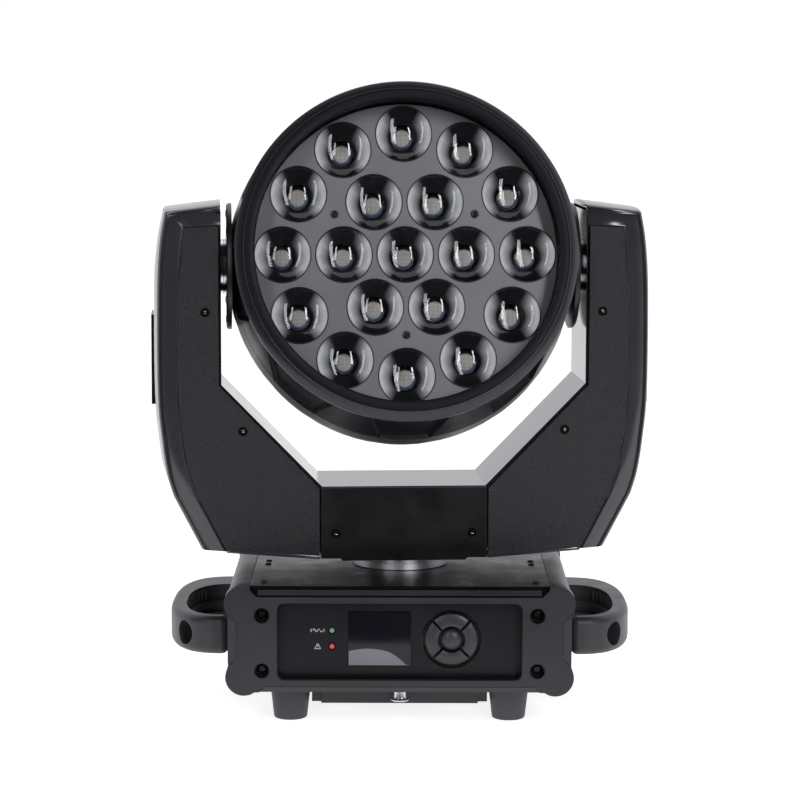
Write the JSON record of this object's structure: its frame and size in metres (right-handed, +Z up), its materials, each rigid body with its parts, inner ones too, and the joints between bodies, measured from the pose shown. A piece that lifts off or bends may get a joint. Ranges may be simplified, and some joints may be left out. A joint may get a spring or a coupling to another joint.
{
  "type": "moving head light",
  "caption": "Stage light with a round multi-lens head that tilts in a U-shaped yoke, which pans on a low base with a menu panel, carrying handles and rubber feet.",
  "frame": {"origin": "centre of the object's box in plan, on the plane that the feet stand on", "axes": "+Z up, -Y towards the front with the menu panel, +X to the right as seen from the front"},
  "size_m": [0.3963, 0.2552, 0.4941],
  "materials": {
    "satin_black": "satin powder coat",
    "grain_black": "leather-grain powder coat",
    "cover_black": "satin moulded plastic",
    "handle_black": "fine-textured plastic",
    "foot_rubber": "matt rubber",
    "button_rubber": "smooth rubber",
    "plate_grey": "satin",
    "lens_clear": "clear polished",
    "screen_glass": "glossy",
    "green_led": "glossy translucent",
    "red_led": "glossy translucent",
    "polished_metal": "polished",
    "bare_aluminium": "machined",
    "motor_black": "satin",
    "circuit_board": "solder mask",
    "belt_rubber": "matt",
    "connector_black": "satin"
  },
  "bodies": {
    "base": {"base_chassis": "satin_black", "base_side_left": "satin_black", "base_side_right": "satin_black", "base_top_plate": "satin_black", "front_bezel": "satin_black", "rear_bezel": "satin_black", "control_panel": "satin_black", "connector_panel": "satin_black", "clamp_plate": "satin_black", "handle_left": "handle_black", "handle_right": "handle_black", "foot_front_left": "foot_rubber", "foot_front_right": "foot_rubber", "foot_rear_left": "foot_rubber", "foot_rear_right": "foot_rubber", "display_screen": "screen_glass", "signal_led": "green_led", "error_led": "red_led", "safety_stud": "polished_metal", "power_supply": "bare_aluminium", "pan_bearing": "bare_aluminium", "pan_motor": "motor_black", "control_board": "circuit_board", "pan_belt": "belt_rubber", "power_inlet": "connector_black", "data_inlet": "connector_black", "data_outlet": "connector_black"},
    "yoke": {"yoke_frame": "satin_black", "pan_shaft": "polished_metal", "arm_shell_left": "cover_black", "arm_shell_right": "cover_black", "arm_front_panel_left": "grain_black", "arm_front_panel_right": "grain_black", "arm_rear_panel_left": "grain_black", "arm_rear_panel_right": "grain_black", "side_vent_left": "cover_black", "side_vent_right": "cover_black", "bridge_front_panel": "grain_black", "bridge_rear_panel": "grain_black", "tilt_motor": "motor_black", "tilt_belt": "belt_rubber"},
    "head": {"head_shell": "cover_black", "rear_cover": "cover_black", "front_ring": "cover_black", "pivot_left": "satin_black", "pivot_right": "satin_black", "led_board": "circuit_board", "heat_sink": "bare_aluminium", "zoom_motor": "motor_black"},
    "zoom_carriage": {"lens_plate": "plate_grey", "lens_array": "lens_clear"},
    "lead_screw": {"zoom_screw": "bare_aluminium"},
    "fan_rotor": {"head_fan": "motor_black"},
    "pan_pinion": {"pan_motor_pulley": "bare_aluminium"},
    "tilt_pinion": {"tilt_motor_pulley": "bare_aluminium"},
    "button_up": {"button_up": "button_rubber"},
    "button_down": {"button_down": "button_rubber"},
    "button_left": {"button_left": "button_rubber"},
    "button_right": {"button_right": "button_rubber"},
    "button_enter": {"button_enter": "button_rubber"}
  },
  "joints": [
    {"name": "pan", "type": "hinge", "parent": "base", "child": "yoke", "pos_m": [0, -0.0116, 0], "axis": [0, 0, 1], "range_deg": [-274, 266]},
    {"name": "tilt", "type": "hinge", "parent": "yoke", "child": "head", "pos_m": [0, -0.0116, 0.348], "axis": [0.9976, 0.0698, 0], "range_deg": [-211.5, 58.5]},
    {"name": "zoom", "type": "slide", "parent": "head", "child": "zoom_carriage", "axis": [0.0678, -0.97, 0.2334], "range_m": [0, 0.011]},
    {"name": "zoom_screw_turn", "type": "hinge", "parent": "head", "child": "lead_screw", "pos_m": [0.00103, -0.02627, 0.28674], "axis": [0.0678, -0.97, 0.2334], "range_deg": [0, 500]},
    {"name": "fan_spin", "type": "hinge", "parent": "head", "child": "fan_rotor", "pos_m": [-0.0038, 0.04272, 0.33493], "axis": [0.0678, -0.97, 0.2334], "continuous": true},
    {"name": "pan_motor_turn", "type": "hinge", "parent": "base", "child": "pan_pinion", "pos_m": [-0.07, -0.0116, 0.074], "axis": [0, 0, 1], "range_deg": [-1100, 1070]},
    {"name": "tilt_motor_turn", "type": "hinge", "parent": "yoke", "child": "tilt_pinion", "pos_m": [0.1616, -0.0003, 0.215], "axis": [0.9976, 0.0698, 0], "range_deg": [-610, 170]},
    {"name": "press_up", "type": "slide", "parent": "base", "child": "button_up", "axis": [0, 1, 0], "range_m": [0, 0.001], "stiffness_N_per_m": 400, "springref_m": -0.001},
    {"name": "press_down", "type": "slide", "parent": "base", "child": "button_down", "axis": [0, 1, 0], "range_m": [0, 0.001], "stiffness_N_per_m": 400, "springref_m": -0.001},
    {"name": "press_left", "type": "slide", "parent": "base", "child": "button_left", "axis": [0, 1, 0], "range_m": [0, 0.001], "stiffness_N_per_m": 400, "springref_m": -0.001},
    {"name": "press_right", "type": "slide", "parent": "base", "child": "button_right", "axis": [0, 1, 0], "range_m": [0, 0.001], "stiffness_N_per_m": 400, "springref_m": -0.001},
    {"name": "press_enter", "type": "slide", "parent": "base", "child": "button_enter", "axis": [0, 1, 0], "range_m": [0, 0.001], "stiffness_N_per_m": 400, "springref_m": -0.001}
  ],
  "couplings": [
    {"joint": "pan_motor_turn", "follows": "pan", "ratio": 4},
    {"joint": "tilt_motor_turn", "follows": "tilt", "ratio": 2.8571},
    {"joint": "zoom_screw_turn", "follows": "zoom", "rad_per_m": 785.4}
  ]
}
